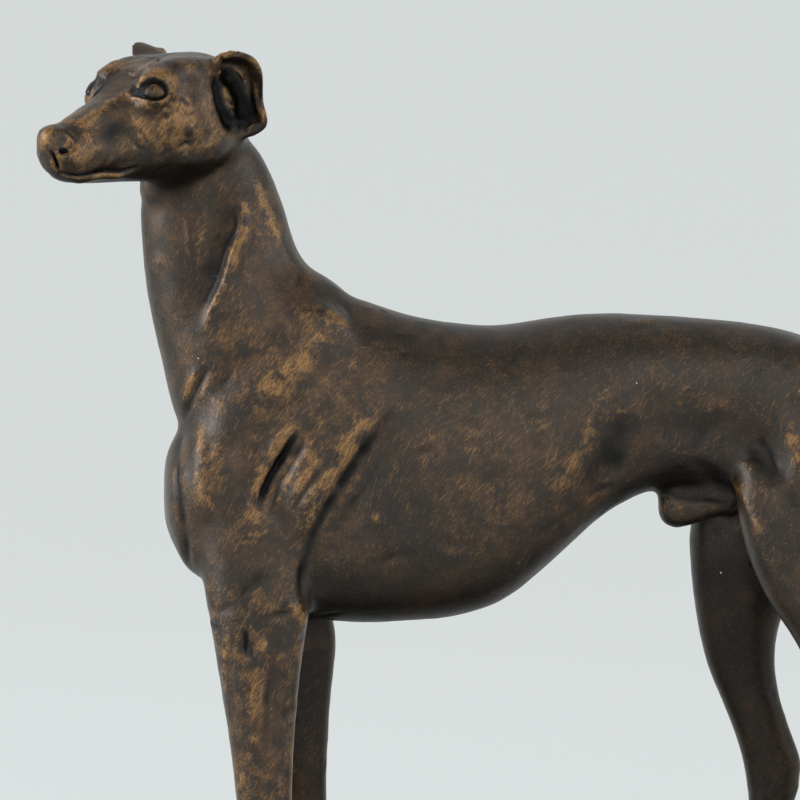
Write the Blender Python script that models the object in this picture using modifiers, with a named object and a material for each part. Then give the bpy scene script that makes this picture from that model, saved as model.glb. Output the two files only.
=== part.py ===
"""Standing greyhound, a small cast figure on a low plinth.

Metres, +Z up. The figure faces -X with its head turned to its left (-Y), and
the origin is the middle of the plinth's underside.

The figure is built the way a sculptor builds one: lofted masses and muscle
lumps are pressed together (a voxel remesh joins them), the joins are smoothed,
and hollows, ridges and creases are carved along strokes drawn on its side.
Its masses and strokes are given in thousandths of the withers height.
"""

import math

import bmesh
import bpy
import numpy as np
from mathutils import Matrix, Vector

# Driving sizes, in metres.
WITHERS_HEIGHT = 0.156  # soles to the top of the shoulders
PLINTH_HEIGHT = 0.012
PLINTH_MARGIN = 0.009  # plinth beyond the toes, heels and outer sides of the feet
PLINTH_CORNER = 0.006  # radius of the plinth's upright corners
PLINTH_ARRIS = 0.0016  # rounding of the plinth's top edge
SEAT_GAP = 0.0003  # between the soles and the plinth

# Pose, in degrees.
HEAD_TURN = 38.0  # towards the figure's left
HEAD_NOD = 4.0  # nose down
HEAD_TILT = 3.0  # its right side up

# How finely the clay is meshed, in thousandths of the withers height.
CLAY_GRAIN = 5.2
FIGURE_TRIANGLES = 8900

SHARE = WITHERS_HEIGHT / 1000
LEFT, RIGHT = -1, 1  # the sign of Y on each side of the figure

# Trunk: x, top, bottom, half width, height of the widest line (0 bottom, 1 top).
TRUNK = [
    (-634, 744, 650, 52, 0.5),
    (-622, 778, 616, 80, 0.5),
    (-590, 824, 572, 100, 0.5),
    (-556, 858, 545, 108, 0.5),
    (-500, 910, 520, 114, 0.48),
    (-420, 972, 494, 124, 0.46),
    (-336, 1006, 484, 130, 0.45),
    (-256, 982, 485, 136, 0.45),
    (-176, 967, 491, 138, 0.46),
    (-96, 962, 515, 134, 0.48),
    (-16, 974, 576, 124, 0.50),
    (64, 981, 648, 111, 0.52),
    (144, 978, 690, 101, 0.54),
    (224, 973, 700, 98, 0.55),
    (304, 965, 694, 103, 0.55),
    (384, 949, 676, 108, 0.54),
    (440, 922, 690, 102, 0.52),
    (484, 880, 716, 84, 0.50),
    (508, 836, 752, 48, 0.50),
]

# Neck: x, y, z, half depth, half width.
NECK = [
    (-432, 0, 840, 176, 114),
    (-480, 0, 923, 168, 104),
    (-522, -2, 995, 137, 90),
    (-544, -6, 1061, 124, 78),
    (-556, -12, 1126, 117, 71),
    (-568, -17, 1184, 107, 66),
    (-578, -20, 1240, 88, 62),
    (-580, -20, 1280, 60, 50),
]

# Head, in its own frame: forward from the nape, top, bottom, half width, widest line.
HEAD_AT = (-540, -12, 1232)
HEAD_SCALE = 0.955
HEAD = [
    (-22, 122, 34, 36, 0.5),
    (-6, 148, 4, 62, 0.5),
    (30, 169, -24, 84, 0.5),
    (80, 177, -34, 93, 0.5),
    (128, 174, -35, 95, 0.54),
    (167, 164, -33, 90, 0.58),
    (199, 144, -31, 77, 0.56),
    (231, 121, -30, 61, 0.50),
    (269, 102, -29, 50, 0.46),
    (308, 87, -28, 44, 0.44),
    (342, 73, -23, 40, 0.44),
    (364, 65, -9, 36, 0.46),
    (376, 56, 10, 26, 0.50),
]

# Ear, in the head's frame: the line it springs from and its rim (forward, up, out).
EAR_ROOT = [
    (80, 150, 60),
    (68, 142, 64),
    (56, 130, 68),
    (46, 112, 72),
    (38, 92, 74),
    (32, 72, 76),
    (28, 54, 77),
    (28, 38, 77),
]
EAR_RIM = [
    (90, 156, 70),
    (64, 177, 86),
    (36, 172, 110),
    (22, 148, 126),
    (16, 94, 122),
    (4, 64, 119),
    (0, 42, 108),
    (16, 26, 88),
]

RIGHT_EAR_SHIFT = (40, 14, 20)  # a little further forward and out

# Fore leg: x, z, half depth, half width, distance of the middle from the centre plane.
FORE_LEG = [
    (-470, 660, 96, 44, 72),
    (-486, 584, 94, 52, 78),
    (-489, 520, 84, 52, 84),
    (-489, 480, 76, 49, 87),
    (-489, 440, 70, 45, 88),
    (-487, 360, 59, 39, 88),
    (-484, 280, 51, 36, 88),
    (-481, 200, 45, 34, 88),
    (-478, 152, 44, 35, 88),
    (-478, 118, 36, 32, 88),
    (-484, 80, 33, 31, 88),
    (-492, 44, 38, 34, 88),
]
FAR_FORE_SHIFT = 70  # the right fore leg stands this much further back

# Hind legs: x, z, half depth, half width, distance from the centre plane.
LEFT_HIND_LEG = [
    (392, 800, 118, 50, 58),
    (396, 700, 122, 60, 72),
    (400, 616, 110, 62, 78),
    (410, 552, 92, 58, 82),
    (425, 500, 73, 52, 85),
    (437, 456, 61, 46, 88),
    (450, 408, 52, 41, 90),
    (466, 360, 46, 37, 90),
    (486, 312, 44, 34, 90),
    (508, 264, 46, 33, 90),
    (522, 224, 48, 33, 90),
    (518, 184, 42, 32, 90),
    (514, 120, 36, 31, 90),
    (508, 64, 37, 33, 90),
]
RIGHT_HIND_LEG = [
    (392, 800, 118, 50, 58),
    (372, 700, 124, 60, 72),
    (340, 616, 114, 62, 78),
    (324, 552, 96, 58, 82),
    (316, 504, 80, 52, 85),
    (314, 456, 68, 46, 88),
    (318, 408, 59, 41, 90),
    (330, 360, 51, 37, 90),
    (346, 312, 47, 34, 90),
    (362, 264, 47, 33, 90),
    (374, 224, 50, 33, 90),
    (372, 184, 42, 32, 90),
    (368, 120, 36, 31, 90),
    (362, 64, 37, 33, 90),
]

# Tail: x, z, radius.
TAIL = [
    (478, 868, 34),
    (508, 828, 27),
    (534, 760, 24),
    (552, 670, 22),
    (560, 570, 20),
    (566, 470, 18),
    (576, 380, 16),
    (592, 312, 14),
    (614, 268, 12),
    (640, 248, 9),
]

# Sheath under the flank: x, z, half depth.
SHEATH = [(290, 700, 46), (236, 684, 42), (198, 668, 39), (174, 662, 33), (160, 660, 12)]

# Muscles and bones on the side of the body: x, distance from the centre plane, z,
# radii (along, across, up), tilt in degrees from the x axis towards the tail's top.
SIDE_LUMPS = {
    "shoulder_blade": (-448, 84, 872, 150, 26, 92, 52),
    "shoulder_blade_top": (-384, 44, 924, 80, 26, 44, 34),
    "point_of_shoulder": (-548, 62, 716, 66, 58, 104, -6),
    "triceps": (-404, 94, 700, 78, 36, 150, 22),
    "upper_arm": (-496, 80, 640, 84, 48, 116, -16),
    "breast": (-560, 36, 656, 62, 64, 98, -8),
    "hip_bone": (310, 56, 880, 96, 40, 66, -12),
    "rump": (396, 58, 840, 110, 50, 96, -24),
    "thigh": (396, 82, 700, 108, 38, 156, -4),
    "seat_bone": (474, 46, 796, 50, 36, 80, 8),
}

# Soft and bony lumps on the head: forward, up, distance from the middle plane, radii.
HEAD_LUMPS = {
    "cheek": (106, 46, 66, 76, 60, 32),
    "temple": (126, 136, 54, 84, 36, 36),
    "brow": (176, 132, 58, 52, 20, 28),
    "eyeball": (208, 107, 69, 25, 24, 20),
    "lip": (318, 12, 22, 52, 24, 20),
    "nostril_wing": (356, 48, 15, 22, 22, 18),
}

# Side strokes: width, height (a groove is below zero), then points (x, z) on the side.
SIDE_STROKES = {
    "shoulder_groove": (14, -15, [(-410, 800), (-440, 752), (-464, 700), (-476, 652)]),
    "shoulder_groove_front": (18, 5, [(-438, 812), (-468, 762), (-490, 706), (-498, 660)]),
    "shoulder_groove_back": (16, 5, [(-384, 790), (-412, 742), (-436, 694)]),
    "triceps_edge": (24, -11, [(-262, 838), (-300, 780), (-340, 706), (-378, 630), (-404, 560), (-408, 500)]),
    "triceps_ridge": (26, 4, [(-306, 830), (-346, 772), (-386, 700), (-420, 630)]),
    "blade_ridge": (26, 4, [(-360, 950), (-430, 890), (-500, 820), (-548, 740)]),
    "neck_hollow": (28, -11, [(-548, 1170), (-556, 1100), (-572, 1030), (-592, 960)]),
    "neck_cord": (14, 7, [(-522, 1160), (-520, 1090), (-544, 1020), (-572, 950)]),
    "throat_cord": (13, 5, [(-584, 1150), (-586, 1080), (-580, 1010)]),
    "neck_base_hollow": (34, -7, [(-560, 880), (-500, 912), (-440, 960)]),
    "last_rib": (34, 4, [(70, 880), (30, 800), (-30, 720), (-110, 640)]),
    "flank_hollow": (40, -13, [(96, 790), (76, 740), (60, 690)]),
    "flank_line": (28, -6, [(120, 830), (200, 800), (290, 790)]),
    "thigh_hollow": (28, -13, [(262, 790), (316, 764), (350, 710), (352, 660)]),
    "thigh_ridge": (24, 6, [(304, 826), (364, 786), (392, 716), (396, 650)]),
    "stifle_fold": (16, 7, [(196, 720), (252, 694), (300, 640), (336, 560)]),
    "buttock_groove": (20, -7, [(440, 800), (446, 700), (440, 600)]),
}

# Strokes on the legs, drawn on the left side; each leg's own shift is added to x.
FORE_STROKES = {
    "forearm_notch": (10, -7, [(-508, 470), (-506, 450), (-504, 430)]),
    "forearm_groove": (11, -8, [(-462, 430), (-458, 350), (-464, 250)]),
    "forearm_ridge": (12, 6, [(-520, 460), (-512, 380), (-500, 300)]),
    "elbow_hollow": (18, -4, [(-500, 492), (-460, 500), (-432, 490)]),
}
HIND_STROKES = {
    "tendon_hollow": (14, -12, [(492, 372), (512, 320), (528, 280)]),
    "shin_ridge": (12, 5, [(418, 470), (440, 390), (474, 310)]),
    "stifle_hollow": (20, -8, [(420, 560), (446, 520), (452, 470)]),
}


def along(rows, steps):
    """A smooth curve through the rows of a table, with some steps in each gap."""
    rows = np.array(rows, float)
    ends = [2 * rows[0] - rows[1]], [2 * rows[-1] - rows[-2]]
    knots = np.vstack([ends[0], rows, ends[1]])
    made = []
    for a, b, c, d in zip(knots, knots[1:], knots[2:], knots[3:]):
        for t in np.arange(steps) / steps:
            bend = (2 * a - 5 * b + 4 * c - d) * t**2 + (3 * b - a - 3 * c + d) * t**3
            made.append((2 * b + (c - a) * t + bend) / 2)
    return np.vstack([made, rows[-1:]])


def skin(clay, rings):
    """Adds one closed skin over a row of rings, with a fan at each end."""
    rows = [[clay.verts.new(p) for p in ring] for ring in rings]
    for a, b in zip(rows, rows[1:]):
        for i in range(len(a)):
            clay.faces.new((a[i - 1], a[i], b[i], b[i - 1]))
    for row, ring in ((rows[0], rings[0]), (rows[-1], rings[-1])):
        middle = clay.verts.new(np.mean(ring, axis=0))
        for i in range(len(row)):
            clay.faces.new((row[i - 1], row[i], middle))


def egg(sides=32, power=2.2):
    """Unit points round a slightly squared circle: across, up."""
    turn = np.linspace(0, 2 * math.pi, sides, endpoint=False)
    c, s = np.cos(turn), np.sin(turn)
    return np.sign(c) * abs(c) ** (2 / power), np.sign(s) * abs(s) ** (2 / power)


def barrel(clay, stations, place):
    """A body whose sections stand upright across its length, from top, bottom and width."""
    across, up = egg()
    rings = []
    for x, top, bottom, half, widest in along(stations, 5):
        middle = bottom + widest * (top - bottom)
        height = np.where(up > 0, up * (top - middle), up * (middle - bottom))
        ring = np.stack([np.full_like(up, x), across * half, middle + height], axis=1)
        rings.append([place @ Vector(p) for p in ring])
    skin(clay, rings)


def tube(clay, stations):
    """A limb whose sections stand square to its run: x, y, z, half depth, half width."""
    rows = along(stations, 5)
    run = np.gradient(rows[:, :3], axis=0)
    across, up = egg(24, 2.1)
    rings = []
    for row, way in zip(rows, run):
        way = Vector(way).normalized()
        side = (Vector((0, 1, 0)) - way * way.y).normalized()
        front = side.cross(way)
        middle = Vector(row[:3])
        rings.append([middle + front * row[3] * u + side * row[4] * a for a, u in zip(across, up)])
    skin(clay, rings)


def lump(clay, place, radii):
    """An ellipsoid of clay."""
    ball = bmesh.new()
    shape = place @ Matrix.Diagonal((*radii, 1))
    bmesh.ops.create_uvsphere(ball, u_segments=22, v_segments=14, radius=1, matrix=shape)
    mesh = bpy.data.meshes.new("lump")
    ball.to_mesh(mesh)
    ball.free()
    clay.from_mesh(mesh)
    bpy.data.meshes.remove(mesh)


def head_frame():
    """From the head's own frame (forward, left, up) to the figure's."""
    forward = Matrix.Rotation(math.pi, 4, "Z")  # the figure faces -X
    turn = Matrix.Rotation(math.radians(HEAD_TURN), 4, "Z")
    nod = Matrix.Rotation(math.radians(HEAD_NOD), 4, "Y")
    tilt = Matrix.Rotation(math.radians(-HEAD_TILT), 4, "X")
    return Matrix.Translation(HEAD_AT) @ turn @ forward @ nod @ tilt @ Matrix.Scale(HEAD_SCALE, 4)


def foot(clay, ankle, side, out):
    """A long hare foot with four arched toes; out turns it away from the middle."""
    x, y = ankle
    place = Matrix.Translation((x, y, 0)) @ Matrix.Rotation(math.radians(side * out), 4, "Z")
    lump(clay, place @ Matrix.Translation((2, 0, 32)), (52, 38, 34))
    for across, back in ((-31, 18), (-11, 0), (11, 0), (31, 18)):
        knuckle = place @ Matrix.Translation((back - 38, across, 28))
        lump(clay, knuckle, (30, 12.5, 25))
        tip = place @ Matrix.Translation((back - 62, across, 15))
        lump(clay, tip, (24, 11.5, 17))


def ear(clay, side, shift):
    """A rose ear: a cupped flap folded back, open to the side of the head."""
    place = head_frame()
    root = along(np.array(EAR_ROOT) + np.array(shift) * 0.4, 4)
    rim = along(np.array(EAR_RIM) + shift, 4)
    rings = []
    for i, (a, b) in enumerate(zip(root, rim)):
        share = i / (len(rim) - 1)
        deep = 34 * math.sin(math.pi * min(1, share + 0.12))
        half = 8.5 + 2 * math.sin(math.pi * share)
        t = np.linspace(0, 1, 7)[:, None]
        arc = a + (b - a) * t + np.array([-deep, -deep * 0.1, -deep * 0.5]) * 4 * t * (1 - t)
        thick = np.array([-0.75, 0.1, -0.65]) * half
        ring = np.vstack([arc + thick, (arc - thick)[::-1]])
        rings.append([place @ Vector((u, -side * w, v)) for u, v, w in ring])
    skin(clay, rings)


def legs(clay):
    """The four legs and their feet."""
    for side, shift, hind in ((LEFT, 0, LEFT_HIND_LEG), (RIGHT, FAR_FORE_SHIFT, RIGHT_HIND_LEG)):
        # The upper arm hangs from the same shoulder, so only the lower part shifts fully.
        fore = []
        for x, z, depth, half, out in FORE_LEG:
            drop = min(1.0, max(0.0, (660 - z) / 220))
            fore.append((x + shift * drop, side * out, z, depth, half))
        tube(clay, fore)
        tube(clay, [(x, side * out, z, depth, half) for x, z, depth, half, out in hind])
        for x, z, out in ((fore[-1][0], 0, FORE_LEG[-1][4]), (hind[-1][0], 0, hind[-1][4])):
            foot(clay, (x - 8, side * out), side, 4)


def body_lumps(clay):
    """Shoulders, rump and thighs on both sides, and the sheath below."""
    for side in (LEFT, RIGHT):
        for x, out, z, length, thick, height, tilt in SIDE_LUMPS.values():
            place = Matrix.Translation((x, side * out, z))
            place @= Matrix.Rotation(math.radians(-tilt), 4, "Y")
            lump(clay, place, (length, thick, height))
    tube(clay, [(x, 0, z, radius, 0.74 * radius) for x, z, radius in SHEATH])


def head(clay):
    """Skull, muzzle, brows, eyes, lips and ears."""
    place = head_frame()
    barrel(clay, HEAD, place)
    for side in (LEFT, RIGHT):
        for u, v, w, length, height, thick in HEAD_LUMPS.values():
            lump(clay, place @ Matrix.Translation((u, side * w, v)), (length, thick, height))
    lump(clay, place @ Matrix.Translation((361, 0, 47)), (26, 26, 25))
    lump(clay, place @ Matrix.Translation((96, 0, -16)), (72, 42, 36))
    lump(clay, Matrix.Translation((-672, -20, 1262)), (34, 42, 26))
    ear(clay, LEFT, (0, 0, 0))
    ear(clay, RIGHT, RIGHT_EAR_SHIFT)


def remeshed(clay):
    """The lumps of clay as one skin, from a voxel remesh."""
    mesh = bpy.data.meshes.new("clay")
    clay.to_mesh(mesh)
    clay.free()
    lumps = bpy.data.objects.new("clay", mesh)
    bpy.context.scene.collection.objects.link(lumps)
    joined = lumps.modifiers.new("join", "REMESH")
    joined.mode = "VOXEL"
    joined.voxel_size = CLAY_GRAIN
    graph = bpy.context.evaluated_depsgraph_get()
    whole = bpy.data.meshes.new_from_object(lumps.evaluated_get(graph))
    bpy.data.objects.remove(lumps)
    return whole


def points_of(mesh):
    points = np.empty(len(mesh.vertices) * 3)
    mesh.vertices.foreach_get("co", points)
    return points.reshape(-1, 3)


def normals_of(mesh, points):
    mesh.vertices.foreach_set("co", points.ravel())
    mesh.update()
    normals = np.empty(len(points) * 3)
    mesh.vertex_normals.foreach_get("vector", normals)
    return normals.reshape(-1, 3)


def smoothed(mesh, points, weight, rounds):
    """Each point drawn towards the mean of its neighbours, as far as its weight says."""
    ends = np.empty(len(mesh.edges) * 2, int)
    mesh.edges.foreach_get("vertices", ends)
    a, b = ends.reshape(-1, 2).T
    count = np.bincount(a, minlength=len(points)) + np.bincount(b, minlength=len(points))
    for _ in range(rounds):
        total = np.zeros_like(points)
        for axis in range(3):
            total[:, axis] = np.bincount(a, points[b, axis], len(points))
            total[:, axis] += np.bincount(b, points[a, axis], len(points))
        points = points + (total / count[:, None] - points) * weight[:, None]
    return points


def fineness(points):
    """How much each point may be smoothed: little on the head and the feet."""
    in_head = np.array(head_frame().inverted())
    local = points @ in_head[:3, :3].T + in_head[:3, 3]
    face = np.clip((local[:, 0] - 20) / 60, 0, 1) * np.clip((points[:, 2] - 1130) / 60, 0, 1)
    ears = np.clip((points[:, 2] - 1240) / 50, 0, 1) * np.clip((abs(local[:, 1]) - 60) / 20, 0, 1)
    feet = np.clip((90 - points[:, 2]) / 40, 0, 1)
    held = np.maximum(np.maximum(0.84 * face * (1 - ears), 0.84 * feet), 0.7 * ears)
    return 0.5 * (1 - held)


def stroke_weight(flat, line, width):
    """How strongly a stroke bears on each point of the side view, fading at its ends."""
    line = along(line, 8)
    share = np.linspace(0, 1, len(line))
    fade = np.clip(np.minimum(share, 1 - share) * 4, 0.15, 1)
    near = ((flat[:, None, :] - line[None]) ** 2).sum(axis=2)
    return (np.exp(-near / width**2) * fade).max(axis=1)


def carve(points, normals, strokes, side, shift=0.0, reach=(-1e4, 1e4)):
    """Moves the surface on one side of the figure in or out along its strokes."""
    facing = np.clip(normals[:, 1] * side * 1.6, 0, 1) * (points[:, 1] * side > 0)
    facing = facing * (points[:, 2] > reach[0]) * (points[:, 2] < reach[1])
    chosen = np.nonzero(facing > 0.02)[0]
    flat = points[chosen][:, [0, 2]] - (shift, 0)
    moved = points.copy()
    for width, height, line in strokes.values():
        weight = stroke_weight(flat, line, width) * facing[chosen]
        moved[chosen] += normals[chosen] * (weight * height)[:, None]
    return moved


def carve_head(points, normals):
    """Eye rims, mouth, nostrils and the furrow between the brows, in the head's frame."""
    frame = np.array(head_frame())
    local = (points - frame[:3, 3]) @ np.linalg.inv(frame[:3, :3]).T
    facing = normals @ frame[:3, :3] / HEAD_SCALE
    moved = points.copy()
    strokes = (
        ("mouth", 7, -8, [(366, 8), (340, -2), (300, 2), (262, 0), (232, 6)]),
        ("nostril", 8, -12, [(366, 48), (358, 40)]),
        ("eye_corner", 8, -7, [(216, 112), (226, 106)]),
        ("cheek_line", 14, -7, [(170, 60), (150, 30), (120, 8)]),
        ("nose_back", 8, -5, [(338, 74), (342, 56), (350, 34)]),
    )
    for side in (-1, 1):
        turned = np.clip(facing[:, 1] * side * 1.6 + 0.3, 0, 1) * (local[:, 1] * side > 0)
        chosen = np.nonzero((turned > 0.02) * (local[:, 0] > 20) * (points[:, 2] > 1150))[0]
        for _, width, height, line in strokes:
            weight = stroke_weight(local[chosen][:, [0, 2]], line, width) * turned[chosen]
            moved[chosen] += normals[chosen] * (weight * height)[:, None]
    top = np.nonzero((facing[:, 2] > 0.3) * (local[:, 0] > 40) * (local[:, 0] < 230))[0]
    furrow = stroke_weight(local[top][:, [0, 1]], [(80, 0), (140, 0), (210, 0)], 14)
    moved[top] -= normals[top] * (furrow * 9)[:, None]
    return moved


def sculpted():
    """The figure in one skin, smoothed and carved, in thousandths of its withers height."""
    clay = bmesh.new()
    barrel(clay, TRUNK, Matrix())
    tube(clay, NECK)
    head(clay)
    legs(clay)
    body_lumps(clay)
    tube(clay, [(x, 0, z, radius, radius) for x, z, radius in TAIL])
    bmesh.ops.recalc_face_normals(clay, faces=clay.faces)
    mesh = remeshed(clay)
    points = points_of(mesh)
    weight = fineness(points)
    points = smoothed(mesh, points, weight, 14)
    for side, shift, hind in ((LEFT, 0, 0), (RIGHT, FAR_FORE_SHIFT, RIGHT_HIND_LEG[7][0] - LEFT_HIND_LEG[7][0])):
        points = carve(points, normals_of(mesh, points), SIDE_STROKES, side)
        points = carve(points, normals_of(mesh, points), FORE_STROKES, side, shift, (60, 500))
        points = carve(points, normals_of(mesh, points), HIND_STROKES, side, hind, (60, 600))
    points = carve_head(points, normals_of(mesh, points))
    points = smoothed(mesh, points, weight, 2)
    mesh.vertices.foreach_set("co", points.ravel())
    mesh.update()
    return mesh


def bronze(name, colour, roughness):
    material = bpy.data.materials.new(name)
    material.use_nodes = True
    shader = material.node_tree.nodes["Principled BSDF"]
    shader.inputs["Base Color"].default_value = (*colour, 1)
    shader.inputs["Metallic"].default_value = 0.7
    shader.inputs["Roughness"].default_value = roughness
    return material


def thinned(mesh, triangles):
    """The mesh with about this many triangles, densest on the head and the feet."""
    whole = bpy.data.objects.new("whole", mesh)
    bpy.context.scene.collection.objects.link(whole)
    plain = whole.vertex_groups.new(name="plain")
    fine = fineness(points_of(mesh)) < 0.3
    plain.add(np.nonzero(~fine)[0].tolist(), 1.0, "REPLACE")
    plain.add(np.nonzero(fine)[0].tolist(), 0.5, "REPLACE")
    count = sum(len(face.vertices) - 2 for face in mesh.polygons)
    fewer = whole.modifiers.new("fewer", "DECIMATE")
    fewer.ratio = min(1.0, triangles / count)
    fewer.vertex_group = "plain"
    fewer.vertex_group_factor = 0.4
    fewer.use_collapse_triangulate = True
    graph = bpy.context.evaluated_depsgraph_get()
    made = bpy.data.meshes.new_from_object(whole.evaluated_get(graph))
    bpy.data.objects.remove(whole)
    return made


def cut_soles(mesh, level):
    """The feet cut off flat at the level where they meet the plinth."""
    body = bmesh.new()
    body.from_mesh(mesh)
    geometry = body.verts[:] + body.edges[:] + body.faces[:]
    cut = bmesh.ops.bisect_plane(
        body, geom=geometry, plane_co=(0, 0, level), plane_no=(0, 0, -1), clear_outer=True
    )
    rims = [item for item in cut["geom_cut"] if isinstance(item, bmesh.types.BMEdge)]
    bmesh.ops.edgeloop_fill(body, edges=rims)
    bmesh.ops.triangulate(body, faces=[face for face in body.faces if len(face.verts) > 3])
    bmesh.ops.recalc_face_normals(body, faces=body.faces)
    body.to_mesh(mesh)
    body.free()


def make_greyhound(collection):
    mesh = thinned(sculpted(), FIGURE_TRIANGLES)
    cut_soles(mesh, 0)
    mesh.transform(Matrix.Translation((0, 0, PLINTH_HEIGHT + SEAT_GAP)) @ Matrix.Scale(SHARE, 4))
    mesh.shade_smooth()
    mesh.materials.clear()
    mesh.materials.append(bronze("patinated bronze", (0.13, 0.075, 0.035), 0.38))
    figure = bpy.data.objects.new("greyhound", mesh)
    collection.objects.link(figure)
    return figure


def make_plinth(collection, figure):
    """A low plate under the feet, as far beyond them as its margin says."""
    soles = np.array([v.co for v in figure.data.vertices if v.co.z < PLINTH_HEIGHT + 20 * SHARE])
    length = 2 * (abs(soles[:, 0]).max() + PLINTH_MARGIN)
    width = 2 * (abs(soles[:, 1]).max() + PLINTH_MARGIN)
    bpy.ops.mesh.primitive_cube_add(size=1, location=(0, 0, PLINTH_HEIGHT / 2))
    plinth = bpy.context.object
    plinth.name = plinth.data.name = "plinth"
    plinth.data.transform(Matrix.Diagonal((length, width, PLINTH_HEIGHT, 1)))
    upright = plinth.data.attributes.new("bevel_weight_edge", "FLOAT", "EDGE")
    for edge in plinth.data.edges:
        ends = [plinth.data.vertices[i].co for i in edge.vertices]
        upright.data[edge.index].value = float(abs(ends[0].z - ends[1].z) > PLINTH_HEIGHT / 2)
    corners = plinth.modifiers.new("corners", "BEVEL")
    corners.limit_method = "WEIGHT"
    corners.width = PLINTH_CORNER
    corners.segments = 6
    arris = plinth.modifiers.new("arris", "BEVEL")
    arris.limit_method = "ANGLE"
    arris.angle_limit = math.radians(60)
    arris.width = PLINTH_ARRIS
    arris.segments = 3
    plinth.data.shade_smooth()
    plinth.data.set_sharp_from_angle(angle=math.radians(40))
    plinth.data.materials.append(bronze("dark bronze", (0.06, 0.04, 0.025), 0.45))
    for other in plinth.users_collection:
        other.objects.unlink(plinth)
    collection.objects.link(plinth)


def main():
    for thing in list(bpy.data.objects):
        bpy.data.objects.remove(thing)
    statue = bpy.data.collections.new("greyhound_statue")
    bpy.context.scene.collection.children.link(statue)
    figure = make_greyhound(statue)
    make_plinth(statue, figure)


main()
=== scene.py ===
# A standing greyhound in patinated cold-cast bronze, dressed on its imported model
import math

import bmesh
import bpy
import numpy as np
from mathutils import Matrix, Vector
from mathutils.bvhtree import BVHTree


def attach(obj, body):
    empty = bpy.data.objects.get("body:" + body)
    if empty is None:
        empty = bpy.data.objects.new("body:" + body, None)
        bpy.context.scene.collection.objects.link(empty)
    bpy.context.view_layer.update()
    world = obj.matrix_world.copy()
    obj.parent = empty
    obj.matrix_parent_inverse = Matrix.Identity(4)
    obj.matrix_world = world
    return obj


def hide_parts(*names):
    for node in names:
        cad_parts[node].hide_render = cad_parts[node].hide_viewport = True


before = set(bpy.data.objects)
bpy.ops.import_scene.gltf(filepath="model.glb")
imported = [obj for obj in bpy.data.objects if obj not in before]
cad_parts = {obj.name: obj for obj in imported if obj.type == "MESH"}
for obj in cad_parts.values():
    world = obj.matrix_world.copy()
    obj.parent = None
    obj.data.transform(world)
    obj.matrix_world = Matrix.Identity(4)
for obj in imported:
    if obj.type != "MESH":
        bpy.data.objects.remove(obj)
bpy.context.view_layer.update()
print("frame loaded")

# Lengths below are millimetres; meshes are written in metres at the end
mm = 0.001

# The photograph's camera: nearly square on, a little towards the head and a little above
camera = {
    "aim": (-40.0, 0.0, 143.55),  # what the middle of the picture shows
    "turn": -6.0,  # degrees towards the head
    "rise": 3.0,  # degrees above level
    "distance": 900.0,
    "seen": 200.0,  # across the picture at the aim
    "pixels": 800,  # the picture's side, for the strokes placed on it
    "film": 36.0,
}


def cameraAxes():
    turn = math.radians(camera["turn"])
    rise = math.radians(camera["rise"])
    level = math.cos(rise)
    back = np.array([math.sin(turn) * level, -math.cos(turn) * level, math.sin(rise)])
    right = np.array([math.cos(turn), math.sin(turn), 0.0])
    return right, np.cross(back, right), back


def makeCamera():
    right, up, back = cameraAxes()
    data = bpy.data.cameras.new("photoCamera")
    data.sensor_width = camera["film"]
    data.lens = camera["film"] * camera["distance"] / camera["seen"]
    data.clip_start = 0.01
    eye = bpy.data.objects.new("photoCamera", data)
    place = np.array(camera["aim"]) + back * camera["distance"]
    turned = Matrix(np.stack([right, up, back], axis=1).tolist()).to_4x4()
    eye.matrix_world = Matrix.Translation(Vector(place * mm)) @ turned
    bpy.context.scene.collection.objects.link(eye)
    bpy.context.scene.camera = eye


# Where the head sits: the nape, and how it is turned, nodded and tilted, as in the solid
head = {"nape": (-84.24, -1.872, 204.49), "turn": 38.0, "nod": 4.0, "tilt": 3.0}


def headAxes():
    turned = Matrix.Rotation(math.radians(head["turn"] + 180), 3, "Z")
    turned = turned @ Matrix.Rotation(math.radians(head["nod"]), 3, "Y")
    turned = turned @ Matrix.Rotation(math.radians(-head["tilt"]), 3, "X")
    return np.array(turned)  # columns: forward, left, up


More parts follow.
